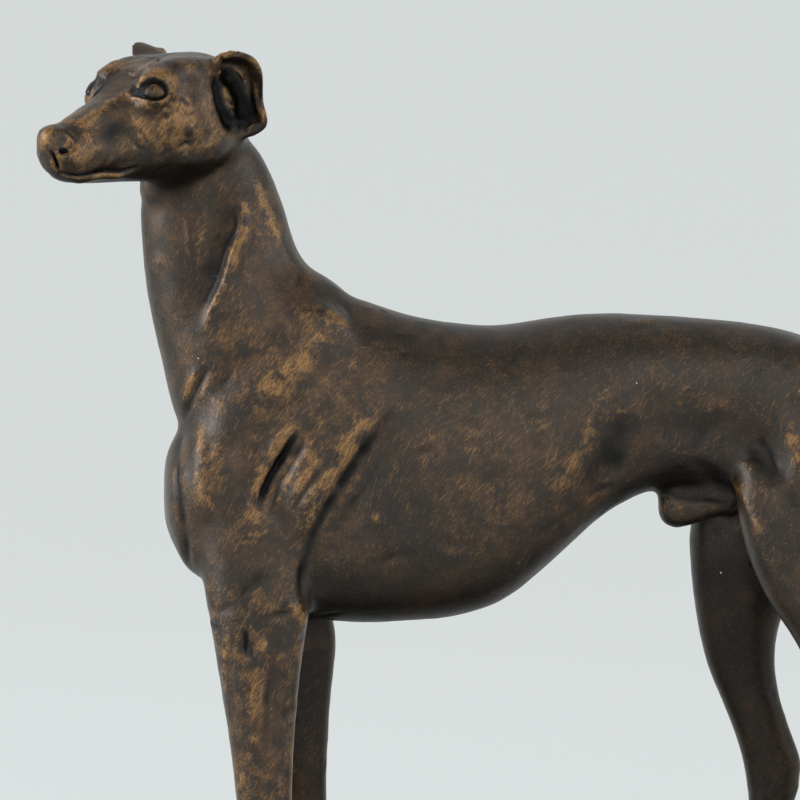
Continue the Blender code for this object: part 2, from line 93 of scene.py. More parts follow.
# The figure's surface as arrays, so that forms can be pushed in and out quickly
class Skin:
    def __init__(self, mesh):
        self.mesh = mesh
        self.count = len(mesh.vertices)
        self.points = self.vectors(mesh.vertices, "co") / mm
        ends = np.empty(len(mesh.edges) * 2, int)
        mesh.edges.foreach_get("vertices", ends)
        self.a, self.b = ends.reshape(-1, 2).T
        self.degree = np.bincount(ends, minlength=self.count)  # how many neighbours each point has
        self.pushed = np.zeros(self.count)  # how far strokes raised or sank each point
        self.touch = np.ones(self.count)  # how hard the hand pressed there
        self.read()

    def vectors(self, items, name):
        values = np.empty(self.count * 3)
        items.foreach_get(name, values)
        return values.reshape(-1, 3)

    def read(self):
        self.mesh.vertices.foreach_set("co", (self.points * mm).ravel())
        self.mesh.update()
        self.normals = self.vectors(self.mesh.vertex_normals, "vector")

    def neighbourMean(self, values):
        total = np.bincount(self.a, values[self.b], self.count)
        return (total + np.bincount(self.b, values[self.a], self.count)) / self.degree

    def blurred(self, values, rounds):
        for _ in range(rounds):
            values = 0.5 * values + 0.5 * self.neighbourMean(values)
        return values

    def blurredRows(self, rows, rounds):
        return np.stack([self.blurred(rows[:, k], rounds) for k in range(3)], axis=1)

    def relax(self, share, rounds):
        # every other round gives back what the first one shrank
        for turn in range(rounds):
            step = share if turn % 2 == 0 else -share * 0.96
            means = np.stack([self.neighbourMean(self.points[:, k]) for k in range(3)], axis=1)
            self.points = self.points + (means - self.points) * step

    def soften(self, rounds, weight):
        # takes out the solid's facets, then gives back the broad form that blurring shrank
        soft = self.blurredRows(self.points, rounds)
        soft = soft + self.blurredRows(self.points - soft, rounds)
        self.points = self.points + (soft - self.points) * weight[:, None]

    def push(self, amount, chosen=slice(None)):
        self.points[chosen] += self.normals[chosen] * amount[:, None]
        self.pushed[chosen] += amount


def smoothPath(points, steps=10):
    rows = np.array(points, float)
    knots = np.vstack([2 * rows[0] - rows[1], rows, 2 * rows[-1] - rows[-2]])
    made = []
    for a, b, c, d in zip(knots, knots[1:], knots[2:], knots[3:]):
        for t in np.arange(steps) / steps:
            bend = (2 * a - 5 * b + 4 * c - d) * t**2 + (3 * b - a - 3 * c + d) * t**3
            made.append((2 * b + (c - a) * t + bend) / 2)
    return np.vstack([made, rows[-1:]])


# A place in the picture, found on the surface: the points and their normals
def seenOnSurface(tree, pixels):
    right, up, back = cameraAxes()
    eye = np.array(camera["aim"]) + back * camera["distance"]
    scale = camera["seen"] / camera["pixels"]
    found = []
    for x, y in pixels:
        across = (x - camera["pixels"] / 2) * scale
        above = (camera["pixels"] / 2 - y) * scale
        way = right * across + up * above - back * camera["distance"]
        hit, normal, _, _ = tree.ray_cast(Vector(eye * mm), Vector(way).normalized())
        if hit is not None:
            found.append((*(Vector(hit) / mm), *normal))
    rows = np.array(found).reshape(-1, 6)
    return rows[:, :3], rows[:, 3:]


def nearestOnSurface(tree, points):
    found = []
    for point in points:
        hit, normal, _, _ = tree.find_nearest(Vector(point * mm))
        found.append((*(Vector(hit) / mm), *normal))
    rows = np.array(found)
    return rows[:, :3], rows[:, 3:]


def acrossHead(points):
    nape = np.array(head["nape"])
    side = headAxes()[:, 1]
    return points - 2 * ((points - nape) @ side)[:, None] * side


def acrossBody(points, shift=0.0):
    return points * (1, -1, 1) + (shift, 0, 0)


# How every stroke fades out
stroke = {
    "reach": 2.6,  # how far it is looked for, in its own widths
    "facing": 1.5,  # how fast it fades where the surface turns away
    "grazing": 0.05,  # what is left of it on a surface seen edge-on
    "taper": 0.7,  # below 1 its ends stay full for longer
}


# How strongly a stroke bears on each point near it
def strokeWeight(skin, path, normals, width, fade):
    low = path.min(axis=0) - stroke["reach"] * width
    high = path.max(axis=0) + stroke["reach"] * width
    near = np.nonzero(((skin.points > low) & (skin.points < high)).all(axis=1))[0]
    if len(near) == 0:
        return near, np.zeros(0)
    gaps = np.full(len(near), np.inf)
    closest = np.zeros(len(near), int)
    for i, point in enumerate(path):
        gap = ((skin.points[near] - point) ** 2).sum(axis=1)
        better = gap < gaps
        gaps[better] = gap[better]
        closest[better] = i
    facing = stroke["facing"] * (skin.normals[near] * normals[closest]).sum(axis=1)
    facing = np.clip(facing + stroke["grazing"], 0, 1)
    share = closest / max(1, len(path) - 1)
    ends = np.clip(np.minimum(share, 1 - share) / fade, 0, 1) if fade else 1.0
    return near, np.exp(-gaps / width**2) * facing * ends ** stroke["taper"]


def drawStroke(skin, path, normals, width, height, fade=0.22):
    if len(path) < 2:  # it lies where the camera sees no surface
        return
    near, weight = strokeWeight(skin, path, normals, width, fade)
    skin.push(weight * height * skin.touch[near], near)


# Strokes on the face: width, height (below zero cuts in), then places in the picture,
# across and down in its pixels. Each is repeated on the hidden side of the head.
faceStrokes = {
    "mouth": (0.65, -1.5, [
        (57, 172), (66, 175), (79, 177), (92, 174),
        (104, 171), (122, 172), (140, 167),
    ]),
    "lowerLip": (0.9, 0.3, [(66, 180), (80, 182), (98, 178), (116, 177), (132, 174)]),
    "upperLip": (1.5, 0.35, [(70, 166), (88, 168), (106, 164), (124, 164)]),
    "nostril": (0.75, -1.4, [(58, 151), (62, 151), (66, 150), (70, 149)]),
    "nostrilSlit": (0.5, -0.8, [(69, 148), (71, 145), (72, 141)]),
    "noseWing": (0.8, 0.12, [(58, 138), (66, 139), (71, 144)]),
    "nosePadEdge": (0.5, -0.5, [(64, 130), (71, 134), (75, 141), (74, 149), (68, 156)]),
    "bridgeEdge": (1.3, 0.5, [(76, 128), (94, 115), (112, 101), (128, 89)]),
    "muzzleHollow": (3.6, -0.7, [(92, 141), (114, 131), (134, 120)]),
    "cheekSwell": (5.5, 0.5, [(164, 118), (178, 128), (184, 144)]),
    "templeGroove": (2.2, -0.55, [(186, 66), (194, 84), (200, 104), (204, 126), (205, 146)]),
    "cheekCreaseOne": (0.4, -0.26, [(170, 112), (180, 110), (188, 116), (196, 112)]),
    "cheekCreaseTwo": (0.4, -0.26, [(156, 124), (164, 116), (172, 120)]),
    "cheekCreaseThree": (0.4, -0.24, [(172, 132), (180, 132), (190, 137), (198, 132)]),
    "jawEdge": (1.8, 0.35, [(140, 177), (160, 178), (178, 170), (192, 156)]),
    "cheekCreaseFour": (0.45, -0.3, [(160, 131), (172, 124), (180, 127), (194, 121)]),
    "cheekCreaseFive": (0.45, -0.3, [(166, 141), (174, 134), (184, 136), (190, 131)]),
    "cheekCreaseSix": (0.45, -0.28, [(176, 148), (186, 143), (192, 146)]),
}

# Strokes round the eye, drawn only lightly on the hidden side
browStrokes = {
    "frontalBone": (4.2, 0.9, [(158, 62), (146, 68), (136, 76)]),
    "browBand": (1.6, 0.25, [(138, 82), (146, 74), (158, 72), (170, 78), (178, 90)]),
    "browFold": (1.0, -0.2, [(150, 65), (162, 62), (174, 69), (186, 84)]),
    "eyeInner": (0.7, -0.12, [(143, 97), (138, 101), (132, 104)]),
    "underEye": (0.9, -0.25, [(146, 105), (158, 107), (168, 103), (176, 96)]),
    "underEyeBand": (1.2, 0.25, [(150, 102), (162, 103), (172, 98)]),
    "eyeCreaseOne": (0.5, -0.24, [(168, 104), (176, 99), (186, 103), (190, 108)]),
    "eyeCreaseTwo": (0.45, -0.28, [(158, 114), (166, 107), (176, 109), (182, 104)]),
    "eyeCreaseThree": (0.45, -0.26, [(164, 121), (170, 114), (180, 117), (192, 113)]),
    "cheekAlmondTop": (0.5, -0.28, [(127, 130), (136, 128), (144, 136), (148, 149)]),
    "cheekAlmondBottom": (0.45, -0.24, [(127, 133), (133, 142), (141, 149), (147, 151)]),
    "cheekAlmond": (1.3, 0.08, [(131, 134), (138, 139), (144, 147)]),
}

# Strokes along the middle of the head and on its far edge, drawn once
midStrokes = {
    "philtrum": (0.55, -1.2, [(50, 151), (53, 158), (56, 165), (58, 172)]),
    "foreheadFurrow": (2.4, -0.45, [(104, 101), (118, 90), (134, 76), (148, 65), (158, 58)]),
    "farSkull": (3.6, 0.5, [(100, 76), (108, 68), (118, 60), (128, 56)]),
}

# Strokes on the ear, repeated on the other ear
earStrokes = {
    "cup": (3.0, -1.5, [(220, 74), (230, 80), (239, 96), (244, 112), (250, 126)]),
    "cupFront": (1.8, -1.3, [(217, 74), (219, 92), (224, 112), (236, 130)]),
    "pit": (1.6, -1.0, [(222, 108), (230, 118), (240, 126), (248, 130)]),
    "rim": (1.4, 0.8, [
        (210, 60), (222, 56), (236, 54), (249, 59),
        (257, 72), (257, 102), (264, 120), (260, 132),
    ]),
    "innerFold": (0.6, 1.0, [(219, 72), (230, 68), (241, 75), (246, 90), (243, 104), (247, 116)]),
    "innerGroove": (0.5, -0.5, [(223, 78), (232, 75), (238, 82), (240, 94), (236, 104)]),
    "innerRib": (0.5, 0.6, [(226, 114), (233, 106), (240, 111), (245, 123)]),
    "innerRibTwo": (0.45, 0.5, [(231, 88), (236, 94), (236, 104), (231, 112)]),
    "lobeTop": (1.5, 0.6, [(223, 74), (230, 77), (236, 84)]),
    "lobeLow": (1.4, 0.6, [(231, 113), (238, 120), (244, 128)]),
    "lobe": (1.7, 0.5, [(226, 84), (229, 92), (229, 100)]),
}

# Strokes on the neck and trunk, repeated on the far side
bodyStrokes = {
    "throatCord": (0.5, 0.25, [(184, 215), (187, 240), (189, 268), (191, 292)]),
    "throatCordShade": (0.8, -0.25, [(189, 214), (192, 240), (194, 266), (195, 290)]),
    "neckHollow": (3.2, -0.6, [(224, 190), (228, 214), (219, 244), (210, 274), (197, 306)]),
    "neckHollowDeep": (1.0, -0.45, [(234, 206), (236, 226), (225, 250), (217, 276), (204, 304)]),
    "neckRidge": (1.2, 0.5, [
        (242, 198), (245, 218), (243, 236), (232, 254),
        (226, 277), (212, 307), (202, 334),
    ]),
    "neckRidgeFront": (1.2, 0.2, [(206, 196), (204, 222), (198, 250), (194, 276)]),
    "neckCrease": (0.8, -0.3, [(252, 214), (253, 240), (243, 262), (236, 284)]),
    "nuchal": (2.0, 0.35, [(256, 176), (268, 212), (286, 250), (316, 284)]),
    "throatNotch": (1.0, -0.7, [(208, 366), (199, 384), (190, 402), (183, 419)]),
    "throatNotchLight": (1.4, 0.4, [(200, 368), (190, 386), (182, 404)]),
    "shoulderSlot": (1.15, -1.5, [(299, 430), (285, 455), (270, 480), (258, 512)]),
    "shoulderSlotLip": (1.5, 0.3, [(286, 432), (272, 456), (258, 482), (248, 508)]),
    "shoulderSecond": (0.9, -0.5, [(324, 466), (312, 482), (301, 497), (294, 510)]),
    "shoulderRidge": (1.2, 0.4, [(312, 438), (300, 462), (286, 486), (274, 512)]),
    "shoulderRidgeTwo": (1.0, 0.3, [(331, 478), (320, 492), (308, 508)]),
    "ribGroove": (1.5, -0.9, [
        (394, 404), (372, 440), (352, 470), (331, 502),
        (313, 538), (303, 572), (302, 604),
    ]),
    "ribGrooveLip": (2.2, 0.2, [(376, 404), (354, 436), (334, 468), (312, 500), (296, 536)]),
    "chestFront": (1.5, -0.7, [
        (180, 436), (177, 462), (177, 490), (184, 532),
        (187, 560), (198, 592), (212, 622),
    ]),
    "shoulderFront": (2.4, 0.4, [(212, 408), (200, 440), (198, 480), (208, 524)]),
    "armNotch": (0.9, -0.7, [(205, 616), (211, 624), (219, 627)]),
    "bladeFront": (3.0, -0.4, [(246, 346), (232, 372), (214, 398)]),
    "bladeSpine": (2.6, 0.18, [(346, 318), (314, 346), (284, 374), (258, 398)]),
    "flankHollow": (4.2, -0.6, [(623, 412), (618, 446), (609, 480)]),
    "lastRib": (3.6, 0.25, [(604, 380), (594, 420), (574, 466), (546, 506)]),
    "flankFold": (1.8, 0.3, [(699, 446), (726, 473), (750, 508), (764, 538)]),
    "flankFoldShade": (1.6, -0.3, [(690, 456), (716, 484), (736, 512)]),
    "flankLine": (2.6, -0.4, [(640, 420), (680, 428), (720, 420), (750, 404)]),
    "thighHollow": (3.4, -0.6, [(748, 442), (764, 460), (776, 486)]),
    "thighRidge": (1.8, 0.35, [(778, 414), (790, 436), (794, 462), (790, 492)]),
    "thighCrease": (0.9, -0.4, [(757, 436), (770, 452), (779, 474)]),
    "sheathSeam": (0.8, -0.6, [(662, 494), (686, 500), (712, 503), (730, 506)]),
}

# Strokes on the near fore leg, repeated on the far one
foreStrokes = {
    "slot": (0.75, -0.9, [(245, 628), (246, 642), (245, 657)]),
    "slotShort": (0.6, -0.5, [(252, 640), (252, 650), (251, 660)]),
    "groove": (0.9, -0.45, [(277, 640), (273, 664), (268, 690), (266, 724), (264, 760)]),
    "ridge": (1.0, 0.25, [(229, 626), (225, 648), (224, 672), (229, 712)]),
    "middleRidge": (1.3, 0.2, [(256, 664), (254, 700), (252, 740), (254, 780)]),
    "elbow": (2.4, 0.3, [(292, 600), (302, 618), (298, 640)]),
    "elbowCrease": (0.8, -0.6, [(262, 620), (278, 614), (292, 612)]),
    "upperCrease": (1.4, -0.5, [(238, 600), (250, 586), (268, 572)]),
}

farForeShift = 10.92  # the far fore leg stands this much further back


def carveFigure(skin, tree):
    for width, height, pixels in midStrokes.values():
        path, normals = seenOnSurface(tree, smoothPath(pixels))
        drawStroke(skin, path, normals, width, height)
    sets = (
        (faceStrokes, acrossHead, 1.0),
        (browStrokes, acrossHead, 0.3),
        (earStrokes, acrossHead, 1.0),
        (bodyStrokes, acrossBody, 1.0),
        (foreStrokes, lambda points: acrossBody(points, farForeShift), 1.0),
    )
    for strokes, across, share in sets:
        for width, height, pixels in strokes.values():
            path, normals = seenOnSurface(tree, smoothPath(pixels))
            drawStroke(skin, path, normals, width, height)
            other, otherNormals = nearestOnSurface(tree, across(path))
            drawStroke(skin, other, otherNormals, width, height * share)


# The eyes: a ball between a sunk ring and raised lids. Radii and widths are shares of the
# eye's own half-lengths.
eye = {
    "seen": (156.0, 94.0),  # in the picture, on the line between the corners
    "oldBalls": [(134, 91), (146, 90), (156, 90)],  # where the solid's plain eyeball is smoothed away
    "looks": (0.55, 0.45),  # how much it faces as the cheek does, and how much straight sideways
    "within": 8.0,  # nothing further away is touched
    "halfLong": 3.3,
    "above": 3.5,  # from the corners' line to the upper lid
    "below": 1.35,
    "pointed": 0.35,  # how much the corners come to a point
    "ball": (0.45, 0.74),  # height and radius
    "ring": (-0.8, 0.92, 0.19),  # height, radius and width
    "lid": (0.22, 1.38, 0.2),
    "stain": (0.94, 0.23, 0.4),  # the black ring's radius and width, and how dark the ball is
    "farShare": 0.35,  # the far eye stands on the outline, so it is cut less deep
}


def eyeFrames(tree):
    centre, _ = seenOnSurface(tree, [eye["seen"]])
    forward, left, up = headAxes().T
    frames = []
    for points, side, share in ((centre, left, 1.0), (acrossHead(centre), -left, eye["farShare"])):
        near, out = nearestOnSurface(tree, points)
        n = out[0] * eye["looks"][0] + side * eye["looks"][1]
        n = n / np.linalg.norm(n)
        along = forward - n * (forward @ n)
        along = along / np.linalg.norm(along)
        high = np.cross(n, along)
        high = high if high @ up > 0 else -high
        frames.append((near[0], n, along, high, share))
    return frames


def carveEyes(skin, frames):
    marks = np.zeros(skin.count)
    for centre, n, along, high, share in frames:
        away = skin.points - centre
        near = np.nonzero(((away**2).sum(axis=1) < eye["within"] ** 2) & (skin.normals @ n > 0.1))[0]
        a = away[near] @ along / eye["halfLong"]
        b = away[near] @ high
        b = b / np.where(b > 0, eye["above"], eye["below"])
        b = b * (1 + eye["pointed"] * a * a)
        r = np.hypot(a, b)
        height, radius = eye["ball"]
        ball = height * np.clip(1 - (r / radius) ** 2, 0, 1) ** 0.6
        height, radius, width = eye["ring"]
        ring = height * np.exp(-(((r - radius) / width) ** 2)) * (1 - 0.5 * np.clip(a, 0, 1))
        height, radius, width = eye["lid"]
        lid = height * np.exp(-(((r - radius) / width) ** 2)) * (0.6 + 0.4 * np.sign(b))
        skin.push((ball + ring + lid) * share, near)
        radius, width, dark = eye["stain"]
        marks[near] = np.maximum(np.exp(-(((r - radius) / width) ** 2)), dark * (r < 0.8))
    return marks


# The feet: where each stands, in millimetres, and how its toes lie. A line's points are how
# far ahead of the foot's middle (below zero), how much it fans out, and the height.
feet = {
    "places": [(-78.0, -13.73, -1), (-67.08, 13.73, 1), (77.99, -14.04, -1), (55.22, 14.04, 1)],
    "soles": 12.3,  # their level, on the plinth
    "turnedOut": 4.0,
    "toeGaps": (-3.3, 0.0, 3.3),  # across the foot
    "gapLine": [(-13.6, 1.12, 2.0), (-11.5, 1.1, 5.6), (-8.0, 1.0, 7.8), (-3.5, 0.9, 9.6)],
    "gap": (0.62, -1.15, 0.9),  # a stroke's width and height, and how far back the outer ones are
    "toeCentres": (-4.9, -1.7, 1.7, 4.9),
    "toeLine": [(-10.6, 1.0, 6.4), (-8.4, 1.0, 8.2), (-6.0, 0.96, 8.6)],
    "toe": (1.1, 0.45, 0.85),
}


def footPlace(x, y, side):
    turn = Matrix.Rotation(math.radians(side * feet["turnedOut"]), 4, "Z")
    return Matrix.Translation((x, y, feet["soles"])) @ turn


def carveFeet(skin, tree):
    sets = (
        (feet["toeGaps"], feet["gapLine"], feet["gap"]),
        (feet["toeCentres"], feet["toeLine"], feet["toe"]),
    )
    for x, y, side in feet["places"]:
        place = footPlace(x, y, side)
        for columns, line, (width, height, late) in sets:
            for across in columns:
                back = late * abs(across) / max(columns)
                points = smoothPath([(ahead + back, across * fan, up) for ahead, fan, up in line])
                path = np.array([np.array(place @ Vector(point)) for point in points])
                on, normals = nearestOnSurface(tree, path)
                drawStroke(skin, on, normals, width, height, 0.3)


# Even noise on a random lattice, from -1 to 1
def latticeNoise(points, size, seed):
    rng = np.random.default_rng(seed)
    side = 64
    table = rng.uniform(-1, 1, (side, side, side))
    spot = points / size + 500  # so that no place is below zero
    cell = np.floor(spot).astype(int)
    t = spot - cell
    t = t * t * (3 - 2 * t)
    total = np.zeros(len(points))
    for dx in (0, 1):
        for dy in (0, 1):
            for dz in (0, 1):
                weight = np.ones(len(points))
                for k, d in enumerate((dx, dy, dz)):
                    weight = weight * (t[:, k] if d else 1 - t[:, k])
                at = (cell + (dx, dy, dz)) % side
                total += weight * table[at[:, 0], at[:, 1], at[:, 2]]
    return total


# How fine the figure's surface is
fineness = {
    "grain": 0.60,  # voxel of the joined clay
    "headFrom": 186.0,  # above this height, in front of the neck, it is halved
    "earsFrom": 206.0,
    "crownFrom": 208.0,  # above this it is halved all round
    "faceAhead": 8.0,  # in front of the nape
    "toesBelow": 24.0,
    "rounding": 70,  # how often the solid's facets are blurred
    "faceHeld": 0.62,  # how much of the face and ears is held back from that
    "toesHeld": 0.9,
    "triangles": 194000,
    "handWork": 0.07,  # unevenness left by modelling fingers and tools
    "handWaves": (5.0, 2.1),  # how wide its large and small waves are
    "pressure": (0.45, 3.4),  # how much the hand's pressure varies, and over what distance
}


# Short strokes of the modelling tool, slanting up and back over the body
tooling = {
    "strokes": 520,
    "seed": 11,
    "above": 30.0,  # the feet have none
    "slant": 48.0,  # degrees
    "spread": 26.0,
    "flatter": 25.0,  # how much less they slant behind the shoulder
    "behind": -50.0,
    "long": (4.0, 13.0),
    "wide": (0.6, 1.7),
    "high": (-0.36, 0.3),
    "headShare": 0.5,  # how large they are on the head
    "stainShare": 0.5,  # cuts this light hold little stain
}


def toolBody(skin, tree):
    rng = np.random.default_rng(tooling["seed"])
    before = skin.pushed.copy()
    sideways = np.abs(skin.normals[:, 1]) > 0.25
    usable = np.nonzero((skin.points[:, 2] > tooling["above"]) & sideways)[0]
    for start in rng.choice(usable, tooling["strokes"]):
        place, normal = skin.points[start], skin.normals[start]
        slant = math.radians(tooling["slant"] + rng.normal() * tooling["spread"])
        if place[0] > tooling["behind"]:
            slant -= math.radians(tooling["flatter"])
        way = np.array([math.cos(slant), 0, math.sin(slant)])
        way = way - normal * (way @ normal)
        length = rng.uniform(*tooling["long"])
        size = tooling["headShare"] if place[2] > fineness["headFrom"] else 1.0
        line = place + np.linspace(-0.5, 0.5, 9)[:, None] * way * length * size
        path, normals = nearestOnSurface(tree, line)
        width = rng.uniform(*tooling["wide"]) * size
        drawStroke(skin, path, normals, width, rng.uniform(*tooling["high"]) * size, 0.4)
    made = skin.pushed - before
    skin.pushed = before + np.where(made > 0, made, made * tooling["stainShare"])


# How far each point is softened: the trunk fully, the face, ears and feet little
def softness(skin):
    height = skin.points[:, 2]
    ahead = (skin.points - np.array(head["nape"])) @ headAxes()[:, 0]
    face = np.clip((height - fineness["headFrom"]) / 8, 0, 1) * np.clip((ahead - 2) / 8, 0, 1)
    ears = np.clip((height - fineness["earsFrom"]) / 6, 0, 1)
    toes = np.clip((fineness["toesBelow"] - height) / 6, 0, 1)
    held = np.maximum(np.maximum(face, ears) * fineness["faceHeld"], toes * fineness["toesHeld"])
    return 1 - held


# Places of the solid that are smoothed or filled before the carving
easing = {
    # the corner under the jaw: where it is in the picture, reach, and rounds of blurring
    "throat": ([(142, 188), (150, 194), (160, 198), (176, 194)], 5.0, 160),
    "throatMoved": (-0.75, -0.2, -0.5),
    "throatReach": 3.0,
    "sockets": (3.4, 90),  # reach and rounds at the solid's own eyeballs
    "farSockets": (4.4, 110),
    "cheekbone": [(146, 101), (150, 106)],
    "lift": 0.35,  # what the sockets and the far cheekbone gain
    "liftReach": 4.0,
}


def easePlaces(skin, spots, reach, rounds):
    near = np.zeros(skin.count)
    for spot in spots:
        near = np.maximum(near, np.exp(-((((skin.points - spot) / reach) ** 2).sum(axis=1)) ** 2))
    soft = skin.blurredRows(skin.points, rounds)
    skin.points = skin.points + (soft - skin.points) * near[:, None]


def easeFigure(skin):
    faces = [tuple(face.vertices) for face in skin.mesh.polygons]
    tree = BVHTree.FromPolygons([tuple(point * mm) for point in skin.points], faces)
    pixels, reach, rounds = easing["throat"]
    throat, _ = seenOnSurface(tree, pixels)
    easePlaces(skin, throat, reach, rounds)
    for place in throat[:2]:
        near = np.exp(-((((skin.points - place) / easing["throatReach"]) ** 2).sum(axis=1)))
        skin.points = skin.points + near[:, None] * np.array(easing["throatMoved"])
    sockets, _ = seenOnSurface(tree, eye["oldBalls"])
    easePlaces(skin, sockets, *easing["sockets"])
    easePlaces(skin, acrossHead(sockets), *easing["farSockets"])
    skin.read()
    bones, _ = seenOnSurface(tree, easing["cheekbone"])
    # only the far cheekbone is lifted, and it is listed twice, so it rises twice as much
    for place in np.vstack([sockets, acrossHead(np.vstack([sockets, bones, bones]))]):
        near = np.exp(-((((skin.points - place) / easing["liftReach"]) ** 2).sum(axis=1)))
        skin.points = skin.points + skin.normals * (easing["lift"] * near)[:, None]


def applied(thing):
    graph = bpy.context.evaluated_depsgraph_get()
    made = bpy.data.meshes.new_from_object(thing.evaluated_get(graph))
    thing.modifiers.clear()
    return made


# Quarters the faces of the head, where the face and the ears need it
def refineHead(figure):
    body = bmesh.new()
    body.from_mesh(figure.data)
    forward = Vector(headAxes()[:, 0])
    nape = Vector(head["nape"])
    chosen = []
    for face in body.faces:
        middle = face.calc_center_median() / mm
        ahead = (middle - nape).dot(forward) > fineness["faceAhead"]
        if middle.z > fineness["headFrom"] and (ahead or middle.z > fineness["crownFrom"]):
            chosen.append(face)
    edges = list({edge for face in chosen for edge in face.edges})
    bmesh.ops.subdivide_edges(body, edges=edges, cuts=1, use_grid_fill=True)
    body.to_mesh(figure.data)
    body.free()


# The solid's facets joined into one even surface
def roundedFigure(node):
    mesh = node.data.copy()
    body = bmesh.new()
    body.from_mesh(mesh)
    bmesh.ops.remove_doubles(body, verts=body.verts, dist=1e-6)
    body.to_mesh(mesh)
    body.free()
    figure = bpy.data.objects.new("castGreyhound", mesh)
    bpy.context.scene.collection.objects.link(figure)
    rounder = figure.modifiers.new("rounder", "SUBSURF")
    rounder.levels = rounder.render_levels = 2
    clay = figure.modifiers.new("clay", "REMESH")
    clay.mode = "VOXEL"
    clay.voxel_size = fineness["grain"] * mm
    figure.data = applied(figure)
    skin = Skin(figure.data)
    skin.soften(fineness["rounding"], softness(skin))
    easeFigure(skin)
    skin.relax(0.6, 6)
    skin.read()
    print("figure rounded", skin.count)
    return figure


def modelFigure(node):
    figure = roundedFigure(node)
    refineHead(figure)
    skin = Skin(figure.data)
    skin.relax(0.5, 6)
    skin.read()
    tree = BVHTree.FromObject(figure, bpy.context.evaluated_depsgraph_get())
    varies, distance = fineness["pressure"]
    skin.touch = 1 + varies * latticeNoise(skin.points, distance, 9)
    carveFigure(skin, tree)
    toolBody(skin, tree)
    ring = carveEyes(skin, eyeFrames(tree))
    carveFeet(skin, tree)
    large, small = fineness["handWaves"]
    uneven = latticeNoise(skin.points, large, 3) + 0.5 * latticeNoise(skin.points, small, 4)
    onPlinth = np.clip((skin.points[:, 2] - 13.0) / 1.5, 0, 1)  # the soles stay flat
    skin.points += skin.normals * (uneven * fineness["handWork"] * onPlinth)[:, None]
    skin.relax(0.3, 2)
    skin.read()
    print("figure carved", skin.count)
    markSurface(skin, ring)
    return figure


# Broad places where the rubbing is strongest, with light also painted on the cheek and muzzle: along,
# up, reach and share
rubbedAndLitPlaces = {
    "shoulder": (-70.0, 146.0, 26.0, 1.0),
    "shoulderSlot": (-70.0, 122.0, 20.0, 0.8),
    "ribs": (-18.0, 128.0, 26.0, 0.65),
    "lowRibs": (6.0, 122.0, 18.0, 0.6),
    "neck": (-80.0, 186.0, 16.0, 0.7),
    # the cheek's and muzzle's shares above 1 are a painted highlight on the head, over real rubbing
    "cheek": (-98.0, 212.0, 17.0, 1.6),
    "earRim": (-81.0, 229.0, 8.0, 1.4),
    "muzzle": (-122.0, 206.0, 15.0, 1.5),
    "foreArm": (-76.0, 84.0, 22.0, 0.5),
    "foreLeg": (-76.0, 50.0, 24.0, 0.4),
    "thigh": (58.0, 130.0, 20.0, 0.35),
    "loin": (26.0, 150.0, 22.0, 0.35),
}


# How the surface's heights turn into rubbing and stain
rubbing = {
    "small": (5, 0.04),  # rounds of blurring that hide small forms, and the height that counts fully
    "large": (34, 0.34),
    "hollow": (0.75, 0.12),  # how dark hollows are, and from what depth
    "cut": 1.1,  # depth at which a stroke is blackest
    "ridge": 0.8,  # height at which a stroke is rubbed most
    "worn": (0.45, 0.75),  # how far ridges are rubbed anywhere, and how much more under the hand
    "legsBelow": 112.0,
    "innerLegs": 0.55,  # how dark the painted shade on the legs' inner sides is
    "most": 1.6,
}


# Where the patina is rubbed to gold and where it stays near black; shade is painted under the body and
# on the legs' inner sides, and light on the cheek and muzzle
def markSurface(skin, ring):
    points, normals = skin.points, skin.normals
    rounds, full = rubbing["small"]
    means = skin.blurredRows(points, rounds)
    small = np.clip(((points - means) * normals).sum(axis=1) / full, -1, 1)
    rounds, full = rubbing["large"]
    wide = skin.blurredRows(means, rounds)
    large = np.clip(((points - wide) * normals).sum(axis=1) / full, -1, 1)
    raised = skin.blurred(small * 0.5 + large * 0.5, 2)
    dark, depth = rubbing["hollow"]
    cuts = np.clip(-skin.pushed / rubbing["cut"], 0, 1) ** 1.3
    sunk = np.maximum(np.maximum(np.clip(-raised * dark - depth, 0, 1), cuts), ring)
    rubbedAndLit = np.zeros(skin.count)
    for x, z, reach, share in rubbedAndLitPlaces.values():
        far = ((points[:, 0] - x) ** 2 + (points[:, 2] - z) ** 2) / reach**2
        rubbedAndLit = np.maximum(rubbedAndLit, share * np.exp(-far))
    # painted shade: undersides and the inner sides of the legs are darkened, and kept from rubbing, gold
    # and wax
    under = np.clip(normals[:, 2] * -1.5 - 0.25, 0, 1)
    side = np.sign(points[:, 1]) * np.clip(np.abs(points[:, 1]) / 3, 0, 1)
    legs = np.clip((rubbing["legsBelow"] - points[:, 2]) / 12, 0, 1)
    inner = np.clip(-side * normals[:, 1] * 1.6 + 0.2, 0, 1) * legs
    paintedShade = skin.blurred(np.maximum(under, inner * rubbing["innerLegs"]), 6)
    anywhere, more = rubbing["worn"]
    worn = np.clip(raised, 0, 1) + np.clip(skin.pushed / rubbing["ridge"], 0, 0.6)
    worn = np.clip(worn * (anywhere + more * rubbedAndLit), 0, 1) * (1 - sunk) * (1 - paintedShade)
    rubbedAndLit = rubbedAndLit * (1 - paintedShade) * (1 - 0.7 * sunk)
    marks = {"worn": worn, "sunk": sunk, "rubbedAndLit": rubbedAndLit, "paintedShade": paintedShade}
    for name, values in marks.items():
        layer = skin.mesh.attributes.new(name, "FLOAT", "POINT")
        layer.data.foreach_set("value", np.clip(values, 0, rubbing["most"]).astype(np.float32))


